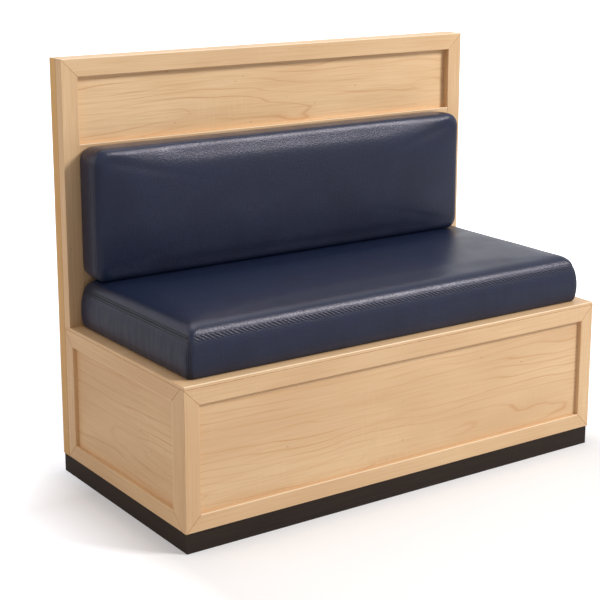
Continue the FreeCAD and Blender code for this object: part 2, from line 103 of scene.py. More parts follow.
class Shader:
    """The nodes of one material or of the sky, while they are made."""

    def __init__(self, owner: Material | bpy.types.World) -> None:
        """Starts without nodes.

        Args:
            owner: the material or the world.
        """
        owner.use_nodes = True
        self.owner = owner
        self.tree = owner.node_tree
        self.tree.nodes.clear()

    def add(
        self, kind: str, *values: object, out: int | str = 0, **named: object
    ) -> Socket | None:
        """Adds one node with its settings and links. A Math node adds unless it is told.

        Args:
            kind: the node's type, such as "TexNoise".
            values: a number or an output for each of the first inputs, or None to skip one.
            out: the name or place of the output that is wanted.
            named: inputs, which start with a capital and have _ for a space, and settings.

        Returns:
            That output, or nothing where the node has none.
        """
        node = self.tree.nodes.new("ShaderNode" + kind)
        inputs = dict(enumerate(values))
        for name, value in named.items():
            if name[0].isupper():
                inputs[name.replace("_", " ")] = value
            else:
                setattr(node, name, value)
        for name, value in inputs.items():
            if isinstance(value, Socket):
                self.tree.links.new(value, node.inputs[name])
            elif value is not None:
                node.inputs[name].default_value = value
        return node.outputs[out] if node.outputs else None

    def grained(
        self,
        place: Socket,
        size: tuple[float, float],
        detail: float = 1.0,
        distortion: float = 0.0,
    ) -> Socket:
        """Makes noise whose spots are drawn out along the local X axis.

        Args:
            place: the coordinates.
            size: a spot's length and width in metres.
            detail: the noise's finer layers.
            distortion: how much it swirls.

        Returns:
            The noise's value.
        """
        length, width = size
        scale = (1 / length, 1 / width, 1 / width)
        drawn_out = self.add("Mapping", place, Scale=scale)
        return self.add("TexNoise", drawn_out, Scale=1.0, Detail=detail, Distortion=distortion)

    def layered(self, colour: str, *layers: tuple[Socket, str]) -> Socket:
        """Lays colours over each other.

        Args:
            colour: the lowest one's hex colour.
            layers: how much of each further one shows, and its hex colour.

        Returns:
            The colour that is seen.
        """
        seen = linear(colour)
        for share, code in layers:
            pair = (seen, linear(code))
            seen = self.add("Mix", share, *[None] * 5, *pair, out=2, data_type="RGBA")
        return seen

    def finish(self, **sockets: object) -> Material:
        """Ends the nodes in a principled shader with these inputs."""
        self.add("OutputMaterial", self.add("BsdfPrincipled", **sockets))
        return self.owner


# Finishes


class Grain(Enum):
    """The way that a board's grain runs, as the turn that brings it onto X."""

    ALONG_X = (0.0, 0.0, 0.0)
    ALONG_Y = (0.0, 0.0, -math.pi / 2)
    ALONG_Z = (0.0, math.pi / 2, 0.0)


@dataclass(frozen=True)
class Maple:
    """Hard maple, planed and sanded, under clear satin lacquer.

    The eye gets a cream board with thin orange-brown growth lines, faint streaks along the grain,
    a few dark flecks, a soft ripple across the grain where the fibres wave, and a low even sheen.
    Pairs of sizes are a spot's length and width in metres.
    """

    name: str
    grain: Grain
    seed: int
    line_gap: float = 0.011
    wander: float = 1.6
    line_strength: float = 0.20
    light: str = "#E5C59D"
    deep: str = "#DAB78F"
    line: str = "#C98F5C"
    pith: Triple | None = None
    # Edges that get a painted highlight: a pale line where light glints on the eased arris.
    worn: tuple[tuple[int, float], ...] = ()
    cloud: tuple[float, float] = (0.42, 0.13)
    streak: tuple[float, float] = (0.14, 0.0036)
    ripple: tuple[float, float] = (0.0055, 0.055)
    patch: tuple[float, float] = (0.24, 0.12)

    def material(self) -> Material:
        """Makes this board's material.

        Returns:
            The material.
        """
        shader = Shader(bpy.data.materials.new(self.name))
        rolls = random.Random(self.seed)
        shift = tuple(rolls.uniform(-9.0, 9.0) for _ in range(3))
        seen = shader.add("TexCoord", out="Object")
        level = shader.add("Mapping", seen, Rotation=self.grain.value)
        place = shader.add("Mapping", level, Location=shift)
        cloud = shader.grained(place, self.cloud, 2.0)
        streaks = shader.grained(place, self.streak, 2.5)
        ripple = shader.add("MapRange", shader.grained(place, self.ripple), 0.5, 0.72)
        patch = shader.grained(place, self.patch)
        patch = shader.add("MapRange", patch, 0.52, 0.68, To_Max=0.14)
        layers = [
            (shader.add("MapRange", cloud, 0.35, 0.65), self.deep),
            (self.growth_lines(shader, level, place), self.line),
            (shader.add("MapRange", streaks, 0.42, 0.72, To_Max=0.42), "#D0A679"),
            (shader.add("Math", ripple, patch, operation="MULTIPLY"), "#F2D8B4"),
            (self.flecks(shader, place), "#A06C42"),
        ]
        # Painted highlight: a pale cream line along the arrises that catch the light.
        if self.worn:
            layers.append((self.worn_arris(shader, seen), "#FBE7CB"))
        rough = shader.add("MapRange", streaks, 0.2, 0.8, To_Max=0.10)
        return shader.finish(
            Base_Color=shader.layered(self.light, *layers),
            Roughness=shader.add("Math", rough, 0.36),
            Normal=shader.add("Bump", Height=streaks, Strength=0.25, Distance=0.15 * MM),
            IOR=1.48,
        )

    def worn_arris(self, shader: Shader, seen: Socket) -> Socket:
        """Finds the eased edge, and paints a pale line along it as a highlight where light glints
        on the rounded arris.

        Args:
            shader: the material's nodes.
            seen: the board's own coordinates.

        Returns:
            How much of the painted highlight shows.
        """
        away = 0.0
        for axis, level in self.worn:
            place = shader.add("SeparateXYZ", seen, out=axis)
            off = shader.add("Math", place, level, operation="SUBTRACT")
            off = shader.add("Math", off, operation="ABSOLUTE")
            away = shader.add("Math", away, off, operation="MAXIMUM")
        return shader.add("MapRange", away, 2.6 * MM, 1.4 * MM, To_Max=0.65)

    def across_rings(self, shader: Shader, level: Socket, place: Socket) -> Socket:
        """Measures across the growth rings.

        Rings round a pith that lies nearly along a panel leave long lines and a few closed
        flames. Other boards are cut aslant from far out in the tree.

        Args:
            shader: the material's nodes.
            level: the board's coordinates, turned so that the grain runs along X.
            place: the same, moved to the board's own part of the tree.

        Returns:
            How far each point is from the pith, or from a level line.
        """
        along, depth, height = (shader.add("SeparateXYZ", level, out=i) for i in range(3))
        if not self.pith:
            depth = shader.add("Math", depth, 0.72, operation="MULTIPLY")
            return shader.add("Math", height, depth)
        aside, below, slope = self.pith
        bends = []
        for size, reach in (((0.50, 0.30), 0.07), ((0.24, 0.50), 0.045)):
            bend = shader.add("Math", shader.grained(place, size), 0.5, operation="SUBTRACT")
            bends.append(shader.add("Math", bend, reach, operation="MULTIPLY"))
        away = shader.add("Math", height, aside, operation="SUBTRACT")
        away = shader.add("Math", away, bends[0])
        deep = shader.add("Math", along, slope, operation="MULTIPLY")
        deep = shader.add("Math", shader.add("Math", deep, below), bends[1])
        ring = shader.add("CombineXYZ", away, deep)
        return shader.add("VectorMath", ring, out="Value", operation="LENGTH")

    def growth_lines(self, shader: Shader, level: Socket, place: Socket) -> Socket:
        """Draws the growth rings that the saw cut across, each sharp on one side.

        Args:
            shader: the material's nodes.
            level: the board's coordinates, turned so that the grain runs along X.
            place: the same, moved to the board's own part of the tree.

        Returns:
            How much of the line's colour shows.
        """
        across = self.across_rings(shader, level, place)
        wave = shader.grained(place, (0.36, 0.06), 2.0, 0.2)
        wave = shader.add("Math", wave, self.wander, operation="MULTIPLY")
        rings = shader.add("Math", across, self.line_gap, operation="DIVIDE")
        share = shader.add("Math", shader.add("Math", wave, rings), operation="FRACT")
        edge = shader.add("ValToRGB", share)
        ramp = edge.node.color_ramp
        ramp.elements[0].position, ramp.elements[1].position = 0.0, 1.0
        ramp.elements[0].color = (1, 1, 1, 1)
        ramp.elements[1].color = (0.6, 0.6, 0.6, 1)
        for position, depth in ((0.035, 0.9), (0.08, 0.20), (0.24, 0.0), (0.93, 0.03)):
            ramp.elements.new(position).color = (depth, depth, depth, 1)
        fade = shader.add("MapRange", shader.grained(place, (0.30, 0.05)), 0.30, 0.70)
        fade = shader.add("Math", fade, self.line_strength * 2, operation="MULTIPLY")
        return shader.add("Math", edge, fade, operation="MULTIPLY")

    def flecks(self, shader: Shader, place: Socket) -> Socket:
        """Scatters the few dark flecks that maple shows.

        Args:
            shader: the material's nodes.
            place: coordinates with the grain along X.

        Returns:
            How much of the fleck's colour shows.
        """
        cells = shader.add("Mapping", place, Scale=(45.0, 130.0, 130.0))
        near = shader.add("TexVoronoi", cells, Scale=1.0)
        kind = shader.add("SeparateColor", near.node.outputs["Color"])
        near = shader.add("MapRange", near, 0.20, 0.10)
        rare = shader.add("MapRange", kind, 0.965, 0.985, To_Max=0.55)
        return shader.add("Math", near, rare, operation="MULTIPLY")


@dataclass(frozen=True)
class Sawn:
    """Bare birch plywood or softwood, sawn and left unfinished.

    The eye gets a dry, matt, paler board with straight streaks, and on plywood the thin glued
    layers at its edges.
    """

    name: str
    grain: Grain
    light: str
    deep: str
    layer: float = 0.0

    def material(self) -> Material:
        """Makes the board's material.

        Returns:
            The material.
        """
        shader = Shader(bpy.data.materials.new(self.name))
        seen = shader.add("TexCoord", out="Object")
        turned = shader.add("Mapping", seen, Rotation=self.grain.value)
        streaks = shader.grained(turned, (0.12, 0.006), 3.0, 0.3)
        layers = [(shader.add("MapRange", streaks, 0.35, 0.7), self.deep)]
        if self.layer:
            height = shader.add("SeparateXYZ", seen, out="Z")
            height = shader.add("Math", height, self.layer, operation="DIVIDE")
            share = shader.add("Math", height, 1.0, operation="PINGPONG")
            glue = shader.add("MapRange", share, 0.4, 0.6, To_Max=0.25)
            layers.append((glue, "#A87C4C"))
        return shader.finish(
            Base_Color=shader.layered(self.light, *layers),
            Roughness=0.72,
            Normal=shader.add("Bump", Height=streaks, Strength=0.4, Distance=0.3 * MM),
        )


@dataclass(frozen=True)
class PlinthPaint:
    """Brown-black lacquer brushed on softwood: near black, brush lines, a scuffed lower edge."""

    name: str = "dark_plinth_lacquer"
    scuff_height: float = 9 * MM

    def material(self) -> Material:
        """Makes the plinth's material.

        Returns:
            The material.
        """
        shader = Shader(bpy.data.materials.new(self.name))
        seen = shader.add("TexCoord", out="Object")
        brush = shader.grained(seen, (0.16, 0.004), 2.0)
        height = shader.add("SeparateXYZ", seen, out="Z")
        low = shader.add("MapRange", height, self.scuff_height, 0.0, To_Max=0.35)
        spots = shader.grained(seen, (0.02, 0.006), 3.0)
        spots = shader.add("MapRange", spots, 0.5, 0.7)
        rough = shader.add("MapRange", brush, 0.2, 0.8, To_Max=0.14)
        return shader.finish(
            Base_Color=shader.layered(
                "#2C2522",
                (shader.add("MapRange", brush, 0.3, 0.7), "#362E2A"),
                (shader.add("Math", low, spots, operation="MULTIPLY"), "#4A423C"),
            ),
            Roughness=shader.add("Math", rough, 0.46),
            Normal=shader.add("Bump", Height=brush, Strength=0.3, Distance=0.2 * MM),
            Specular_IOR_Level=0.1,
        )


@dataclass(frozen=True)
class Leather:
    """Navy cow leather, dyed through and lightly sealed.

    The eye gets a deep blue-grey, a broad soft sheen broken by the grain, slow changes of tone,
    and dark seams and stitch rows. Real pebbles are about 1 mm across: here they are drawn 3.5 mm,
    and the soft lumps between them 4.5 mm, or they would not show in the picture.
    """

    name: str
    seam: float = 0.0
    rows: float = 0.0
    light: str = "#1B2641"
    deep: str = "#121C34"
    pebble: float = 3.5 * MM
    lump: float = 4.5 * MM
    drift: float = 6.0 * MM
    rough: float = 0.27

    def material(self) -> Material:
        """Makes the leather's material.

        Returns:
            The material.
        """
        shader = Shader(bpy.data.materials.new(self.name))
        seen = shader.add("TexCoord", out="Object")
        noisy = shader.add("TexNoise", seen, Scale=90.0, Detail=2.0, out="Color")
        drift = (self.drift,) * 3
        bent = shader.add("VectorMath", noisy, drift, seen, operation="MULTIPLY_ADD")
        edges = {"Scale": 1 / self.pebble, "feature": "DISTANCE_TO_EDGE"}
        pebbles = shader.add("MapRange", shader.add("TexVoronoi", bent, **edges), 0.0, 0.22)
        lumps = shader.add("TexNoise", seen, Scale=1 / self.lump, Detail=2.5)
        mottle = shader.add("TexNoise", seen, Scale=11.0, Detail=4.0, Roughness=0.55)
        valley = shader.add("Math", pebbles, 0.4, operation="MULTIPLY")
        valley = shader.add("Math", 0.4, valley, operation="SUBTRACT")
        # Painted shade in the gathered edge's pleat valleys, read together with the seams and
        # stitch rows, which are dark in their own right.
        seam_and_pleat_shade = shader.add("Attribute", out="Fac", attribute_name="seam_and_pleat_shade")
        seam_and_pleat_shade = shader.add("Math", seam_and_pleat_shade, self.seam_lines(shader), operation="MAXIMUM")
        rough = shader.add("MapRange", mottle, 0.25, 0.75, To_Max=0.10)
        rough = shader.add("Math", rough, self.rough)
        dull = shader.add("Math", seam_and_pleat_shade, 0.4, operation="MULTIPLY")
        fine = shader.add("Bump", Height=pebbles, Strength=0.5, Distance=0.15 * MM)
        sunk = shader.add("Math", seam_and_pleat_shade, 0.6, operation="MULTIPLY")
        sunk = shader.add("Math", lumps, sunk, operation="SUBTRACT")
        return shader.finish(
            Base_Color=shader.layered(
                self.light,
                (shader.add("MapRange", mottle, 0.3, 0.7), self.deep),
                (valley, "#10131F"),
                (seam_and_pleat_shade, "#05070C"),
            ),
            Roughness=shader.add("Math", rough, dull),
            Normal=shader.add(
                "Bump", Height=sunk, Strength=0.6, Distance=0.7 * MM, Normal=fine
            ),
            IOR=1.38,
            Specular_IOR_Level=0.58,
            Specular_Tint=linear("#F6F1FF"),
        )

    def seam_lines(self, shader: Shader) -> Socket:
        """Draws the seam and the stitch rows beside it from the distance to the seam.

        Args:
            shader: the material's nodes.

        Returns:
            How dark each point is.
        """
        near = shader.add("Attribute", out="Fac", attribute_name="near_seam")
        away = shader.add("MapRange", near, 1.0, 0.0, To_Max=SEAM_REACH)
        seam = shader.add("MapRange", away, 1.8 * MM, 0.9 * MM, To_Max=self.seam)
        off = shader.add("Math", away, STITCH_OFFSET, operation="SUBTRACT")
        off = shader.add("Math", off, operation="ABSOLUTE")
        rows = shader.add("MapRange", off, 1.8 * MM, 0.8 * MM, To_Max=self.rows)
        return shader.add("Math", seam, rows, operation="MAXIMUM")


@dataclass(frozen=True)
class Thread:
    """Bonded nylon thread: twisted, a little lighter than the leather, with a small sheen."""

    name: str = "nylon_thread"

    def material(self) -> Material:
        """Makes the thread's material.

        Returns:
            The material.
        """
        shader = Shader(bpy.data.materials.new(self.name))
        seen = shader.add("TexCoord", out="Object")
        twist = shader.add("TexWave", seen, Scale=300.0, Distortion=2.0, out="Fac")
        colour = shader.layered("#151929", (twist, "#0C0F1A"))
        return shader.finish(Base_Color=colour, Roughness=0.42)


@dataclass(frozen=True)
class DustCloth:
    """Black spun-bonded cloth: matt, thin and faintly dimpled by its bonding points."""

    name: str = "spun_bonded_cloth"

    def material(self) -> Material:
        """Makes the cloth's material.

        Returns:
            The material.
        """
        shader = Shader(bpy.data.materials.new(self.name))
        seen = shader.add("TexCoord", out="Object")
        points = shader.add("TexVoronoi", seen, Scale=500.0)
        return shader.finish(
            Base_Color=shader.layered("#101010", (points, "#242424")),
            Roughness=0.9,
            Normal=shader.add("Bump", Height=points, Strength=0.5, Distance=0.2 * MM),
        )


@dataclass(frozen=True)
class ZincSteel:
    """Zinc-plated steel, rolled and tumbled: pale yellowish metal with small dull patches."""

    name: str = "zinc_plated_steel"

    def material(self) -> Material:
        """Makes the screws' material.

        Returns:
            The material.
        """
        shader = Shader(bpy.data.materials.new(self.name))
        seen = shader.add("TexCoord", out="Object")
        patch = shader.add("TexNoise", seen, Scale=320.0, Detail=3.0)
        rough = shader.add("MapRange", patch, 0.3, 0.7, To_Max=0.2)
        return shader.finish(
            Base_Color=shader.layered("#C9C2A8", (patch, "#A9A596")),
            Roughness=shader.add("Math", rough, 0.24),
            Metallic=1.0,
        )


@dataclass(frozen=True)
class JointShadow:
    """The glue line and shadow in a closed joint: brown, dull and broken where it is tight."""

    name: str = "joint_glue_line"

    def material(self) -> Material:
        """Makes the joint line's material.

        Returns:
            The material.
        """
        shader = Shader(bpy.data.materials.new(self.name))
        seen = shader.add("TexCoord", out="Object")
        breaks = shader.add("TexNoise", seen, Scale=55.0, Detail=3.0)
        breaks = shader.add("MapRange", breaks, 0.4, 0.7)
        return shader.finish(
            Base_Color=shader.layered("#9A6A42", (breaks, "#C29468")), Roughness=0.85
        )


# Modelling


def deselect() -> None:
    """Leaves nothing selected, so that an operator acts only on what is made next."""
    if bpy.context.object and bpy.context.object.mode != "OBJECT":
        bpy.ops.object.mode_set(mode="OBJECT")
    bpy.ops.object.select_all(action="DESELECT")


def choose(piece: Piece) -> None:
    """Selects one piece and nothing else.

    Args:
        piece: the piece that the next operator acts on.
    """
    deselect()
    piece.select_set(True)
    bpy.context.view_layer.objects.active = piece


def take(name: str) -> Piece:
    """Names the primitive that was just added.

    Args:
        name: the piece's name.

    Returns:
        The piece.
    """
    piece = bpy.context.object
    piece.name = piece.data.name = name
    return piece


@contextmanager
def editing(piece: Piece) -> Iterator[None]:
    """Opens a piece in edit mode and closes it again.

    Args:
        piece: the piece to edit.
    """
    bpy.context.view_layer.objects.active = piece
    piece.select_set(True)
    bpy.ops.object.mode_set(mode="EDIT")
    yield
    bpy.ops.object.mode_set(mode="OBJECT")


def face_outwards(piece: Piece) -> None:
    """Turns all of a closed piece's faces outwards.

    Args:
        piece: the piece.
    """
    with editing(piece):
        bpy.ops.mesh.select_all(action="SELECT")
        bpy.ops.mesh.normals_make_consistent(inside=False)


def apply_all(piece: Piece) -> None:
    """Applies the piece's place, turn, scale and modifiers.

    Args:
        piece: the piece to finish.
    """
    choose(piece)
    bpy.ops.object.transform_apply(location=True, rotation=True, scale=True)
    for modifier in list(piece.modifiers):
        bpy.ops.object.modifier_apply(modifier=modifier.name)


def read_points(piece: Piece, what: str = "co") -> np.ndarray:
    """Reads each point's place, or with "normal" its outward direction.

    Args:
        piece: the piece.
        what: the vertices' property.

    Returns:
        Rows of x, y and z.
    """
    flat = np.empty(len(piece.data.vertices) * 3)
    piece.data.vertices.foreach_get(what, flat)
    return flat.reshape(-1, 3)


def set_points(piece: Piece, points: np.ndarray) -> None:
    """Moves a piece's points to rows of x, y and z."""
    piece.data.vertices.foreach_set("co", points.ravel())
    piece.data.update()


def mark_points(piece: Piece, name: str, values: np.ndarray) -> None:
    """Keeps one value for each point, for a material to read."""
    marks = piece.data.attributes.new(name, "FLOAT", "POINT")
    marks.data.foreach_set("value", values)


def dress(piece: Piece, material: Material) -> None:
    """Gives a new piece or a node of the frame one material."""
    piece.data.materials.clear()
    piece.data.materials.append(material)


def smooth(piece: Piece, angle: float) -> None:
    """Shades a piece smooth, apart from edges sharper than angle in degrees."""
    choose(piece)
    bpy.ops.object.shade_smooth_by_angle(angle=math.radians(angle))


def waves(points: np.ndarray, size: float, seed: float) -> np.ndarray:
    """Makes soft random heights from about -1 to 1.

    Args:
        points: rows of x, y and z in metres.
        size: a bump's width in metres.
        seed: moves the pattern.

    Returns:
        One height for each point.
    """
    away = Vector((seed, -seed, 2 * seed))
    return np.array([noise.noise(Vector(p) / size + away) for p in points])


# Cushions


@dataclass
class Cushion:
    """A boxed cushion: a flat underside, a side band, a seam all round and a rolled, crowned face.

    It is made lying on its underside with its face up, and then turned and put in its place.
    Sizes are in metres. The room is the lowest and highest corner that it may reach.
    """

    name: str
    body: str
    stands_for: tuple[str, ...]
    centre: Triple
    width: float
    depth: float
    seam_height: float
    seam_inset: float
    base_inset: float
    roll_rise: float
    roll_run: float
    crown: float
    end_run: float
    near_radius: float
    far_radius: float
    swell: float
    room: tuple[Triple, Triple]
    tilt: float = 0.0
    far_share: float = 1.0
    arch_power: float = 3.0
    bulge: float = 2.0 * MM
    groove_width: float = 2.5 * MM
    groove_depth: float = 0.8 * MM
    corner_seams: bool = False
    side_rows: int = 12
    roll_rows: int = 6
    spacing: float = 8.5 * MM
    foot_inset: float = 0.8 * MM
    fill: float = 0.8
    pressure: float = 4.0
    stiffness: float = 30.0
    steps: int = 20
    evening: int = 30
    dent: float = 0.3 * MM
    seed: float = 3.0
    surface: BVHTree | None = None

    def base_mesh(self) -> Piece:
        """Raises a closed box of even quads from a grid, one extrusion for each row.

        Returns:
            The box, with its underside at 0 and one unit of height for each row.
        """
        deselect()
        bpy.ops.mesh.primitive_grid_add(
            x_subdivisions=round(self.width / self.spacing),
            y_subdivisions=round(self.depth / self.spacing),
            size=2,
        )
        piece = take(self.name)
        with editing(piece):
            bpy.ops.mesh.select_all(action="SELECT")
            for _ in range(self.side_rows + self.roll_rows):
                bpy.ops.mesh.extrude_region_move(
                    TRANSFORM_OT_translate={"value": (0.0, 0.0, 1.0)}
                )
        face_outwards(piece)
        return piece

    def rings(self) -> list[tuple[float, float]]:
        """Lists how far in and how high each row of the box goes.

        Returns:
            Inset and height of each row, from the underside to the end of the roll.
        """
        found = []
        for row in range(self.side_rows + 1):
            even = row / self.side_rows
            share = 0.5 * even + 0.5 * (1 - math.cos(math.pi * even)) / 2
            bulge = math.sin(math.pi * share) ** 0.7 * self.bulge
            rest = self.base_inset + (self.seam_inset - self.base_inset) * share
            found.append((rest - bulge, self.seam_height * share))
        found[0] = (self.base_inset + self.foot_inset, 0.0)
        slope = self.arch_power * self.crown / (self.depth / 2)
        last = math.atan2(self.roll_rise, self.roll_run * slope)
        for row in range(1, self.roll_rows + 1):
            turn = last * row / self.roll_rows
            inset = self.seam_inset + self.roll_run * (1 - math.cos(turn))
            found.append((inset, self.seam_height + self.roll_rise * math.sin(turn)))
        return found

    def form(self, piece: Piece) -> None:
        """Moves the box's points to the cushion's form, a little slack, before it is filled.

        Args:
            piece: the box of base_mesh.
        """
        points = read_points(piece)
        rings = np.array(self.rings())
        row = np.rint(points[:, 2]).astype(int)
        inset, height = rings[row, 0], rings[row, 1]
        half_x = self.width / 2 - inset
        level = max(self.base_inset, self.seam_inset)
        rolled = np.maximum(inset - level, 0.0)
        flush = np.minimum(inset, level) * self.far_share + rolled
        half_y = self.depth / 2 - np.where(points[:, 1] > 0, flush, inset)
        share = np.maximum(np.abs(points[:, 0]), np.abs(points[:, 1]))
        radius = np.where(points[:, 1] < 0, self.near_radius, self.far_radius) * share
        arc_x, arc_y = half_x * share - radius, half_y * share - radius
        x, y = points[:, 0] * half_x, points[:, 1] * half_y
        over_x, over_y = np.abs(x) - arc_x, np.abs(y) - arc_y
        corner = (over_x > 0) & (over_y > 0) & (radius > 0)
        along = np.where(over_x >= over_y, over_y, 2 * radius - over_x)
        turn = along / np.maximum(2 * radius, 1e-9) * math.pi / 2
        x = np.where(corner, np.sign(x) * (arc_x + radius * np.cos(turn)), x)
        y = np.where(corner, np.sign(y) * (arc_y + radius * np.sin(turn)), y)
        top = row == len(rings) - 1
        inward_x = (1 - np.abs(points[:, 0])) * self.width / 2 / self.end_run
        inward_x = np.minimum(inward_x, 1.0)
        inward_y = 1 - np.abs(points[:, 1])
        power = self.arch_power
        arch = (1 - (1 - inward_x) ** power) * (1 - (1 - inward_y) ** power)
        height = height + np.where(top, arch * self.crown, 0.0)
        set_points(piece, np.column_stack((x, y, height)))

    def seam_edges(self, piece: Piece) -> None:
        """Marks the edges that the seams follow.

        Args:
            piece: the formed cushion.
        """
        points = read_points(piece)
        on_seam = np.abs(points[:, 2] - self.seam_height) < ON_SEAM
        upright = np.zeros(len(points), bool)
        if self.corner_seams:
            reach_x = self.width / 2 - self.near_radius
            reach_y = self.depth / 2 - self.near_radius
            over_x, over_y = np.abs(points[:, 0]) - reach_x, -points[:, 1] - reach_y
            upright = (over_x > 0) & (np.abs(over_x - over_y) < 0.4 * MM)
            upright &= points[:, 2] < self.seam_height + ON_SEAM
            upright &= points[:, 2] > ON_SEAM
        with editing(piece):
            bpy.ops.mesh.select_all(action="DESELECT")
        for edge in piece.data.edges:
            first, last = edge.vertices
            along = on_seam[first] and on_seam[last]
            edge.select = bool(along or (upright[first] and upright[last]))
        with editing(piece):
            bpy.ops.mesh.select_mode(type="EDGE")
            bpy.ops.mesh.mark_seam()
            bpy.ops.transform.edge_crease(value=1.0)

    def inflate(self, piece: Piece) -> None:
        """Fills the cover by a cloth simulation that is held at the seam and the underside.

        Args:
            piece: the slack cushion.
        """
        before = read_points(piece)
        held = piece.vertex_groups.new(name="held")
        seam = np.abs(before[:, 2] - self.seam_height) < ON_SEAM
        chosen = np.nonzero(seam | (before[:, 2] < MM))[0]
        held.add([int(i) for i in chosen], 1.0, "REPLACE")
        choose(piece)
        cloth = piece.modifiers.new("fill", "CLOTH")
        settings = cloth.settings
        settings.vertex_group_mass = "held"
        settings.use_pressure = True
        settings.uniform_pressure_force = self.pressure
        settings.effector_weights.gravity = 0.0
        settings.bending_stiffness = self.stiffness
        settings.quality = 5
        cloth.collision_settings.use_collision = False
        for step in range(1, self.steps + 1):
            bpy.context.scene.frame_set(step)
        bpy.ops.object.modifier_apply(modifier=cloth.name)
        bpy.context.scene.frame_set(1)
        moved = self.evened(piece, read_points(piece) - before, chosen)
        length = np.linalg.norm(moved, axis=1, keepdims=True)
        capped = self.swell * np.tanh(length / self.swell)
        set_points(piece, before + moved * capped / np.maximum(length, 1e-9))
        piece.vertex_groups.clear()

    def evened(self, piece: Piece, moved: np.ndarray, still: np.ndarray) -> np.ndarray:
        """Evens out how far neighbouring points moved, as stiff leather does.

        Args:
            piece: the cushion.
            moved: each point's movement.
            still: the points that stay.

        Returns:
            The evened movement.
        """
        ends = np.array([edge.vertices[:] for edge in piece.data.edges])
        count = np.bincount(ends.ravel(), minlength=len(moved))[:, None]
        for _ in range(self.evening):
            total = np.zeros_like(moved)
            np.add.at(total, ends[:, 0], moved[ends[:, 1]])
            np.add.at(total, ends[:, 1], moved[ends[:, 0]])
            moved = (moved + total / count) / 2
            moved[still] = 0.0
        return moved

    def refine(self, piece: Piece) -> None:
        """Halves the faces, and gives the leather slow dents that end above the underside.

        Args:
            piece: the filled cushion.
        """
        finer = piece.modifiers.new("finer", "SUBSURF")
        finer.levels = finer.render_levels = 1
        apply_all(piece)
        points = read_points(piece)
        lift = waves(points, 0.11, self.seed) * self.dent
        lift += waves(points, 0.045, self.seed + 5) * self.dent * 0.45
        lift *= np.clip(points[:, 2] / 0.02, 0.0, 1.0)
        set_points(piece, points + read_points(piece, "normal") * lift[:, None])

    def seam_points(self, piece: Piece) -> KDTree:
        """Samples the seams, to tell how far any point is from them.

        Args:
            piece: the cushion with its seams marked.

        Returns:
            A tree of points half a millimetre apart.
        """
        found = []
        for edge in piece.data.edges:
            if edge.use_seam:
                first, last = (piece.data.vertices[v].co for v in edge.vertices)
                steps = max(1, round((last - first).length / (0.5 * MM)))
                found += [first.lerp(last, i / steps) for i in range(steps)]
        tree = KDTree(len(found))
        for i, point in enumerate(found):
            tree.insert(point, i)
        tree.balance()
        return tree

    def groove(self, piece: Piece) -> None:
        """Bevels the seam's edges into narrow strips, and sinks the seam.

        The front seam is left out, because the gathered edge lies on it.

        Args:
            piece: the cushion with its seams marked.
        """
        tree = self.seam_points(piece)
        for edge in piece.data.edges:
            edge.select = edge.use_seam
        with editing(piece):
            bpy.ops.mesh.select_mode(type="EDGE")
            bpy.ops.mesh.bevel(
                offset=self.groove_width, segments=6, profile=0.5, clamp_overlap=True
            )
        points, normals = read_points(piece), read_points(piece, "normal")
        near_seam = np.zeros(len(points))
        for i in np.nonzero(points[:, 2] < self.seam_height + SEAM_REACH)[0]:
            place, _, away = tree.find(points[i])
            gathered = self.corner_seams and place.y < self.near_radius - self.depth / 2
            upright = place.z < self.seam_height - MM
            if gathered and not upright:
                continue
            near_seam[i] = max(0.0, 1 - away / SEAM_REACH)
            depth = self.groove_depth * max(0.0, 1 - away / self.groove_width) ** 1.5
            points[i] -= normals[i] * depth * (0.3 if upright else 1.0)
        set_points(piece, points)
        mark_points(piece, "near_seam", near_seam)

    def wrinkle(self, piece: Piece) -> None:
        """Adds the folds that this cushion shows. A plain one has none."""

    def press(self, piece: Piece) -> None:
        """Flattens the cushion, before it is turned, where it meets its neighbours."""
        set_points(piece, np.clip(read_points(piece), *self.room))

    def place(self, piece: Piece) -> None:
        """Turns a piece made lying flat, and puts it where the cushion is.

        Args:
            piece: a piece at the cushion's own origin.
        """
        turn = Matrix.Rotation(self.tilt, 4, "X")
        piece.matrix_world = Matrix.Translation(self.centre) @ turn
        apply_all(piece)

    def build(self, leather: Material) -> None:
        """Makes the whole cushion in its place, and keeps its surface as it was lying flat.

        Args:
            leather: its material.
        """
        piece = self.base_mesh()
        self.form(piece)
        self.seam_edges(piece)
        self.inflate(piece)
        self.refine(piece)
        self.wrinkle(piece)
        self.press(piece)
        self.groove(piece)
        self.surface = BVHTree.FromPolygons(
            [v.co for v in piece.data.vertices],
            [face.vertices for face in piece.data.polygons],
        )
        self.place(piece)
        smooth(piece, 70.0)
        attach(piece, self.body)
        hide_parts(*self.stands_for)
        dress(piece, leather)
        LOG.info("%s: %d faces", piece.name, len(piece.data.polygons))


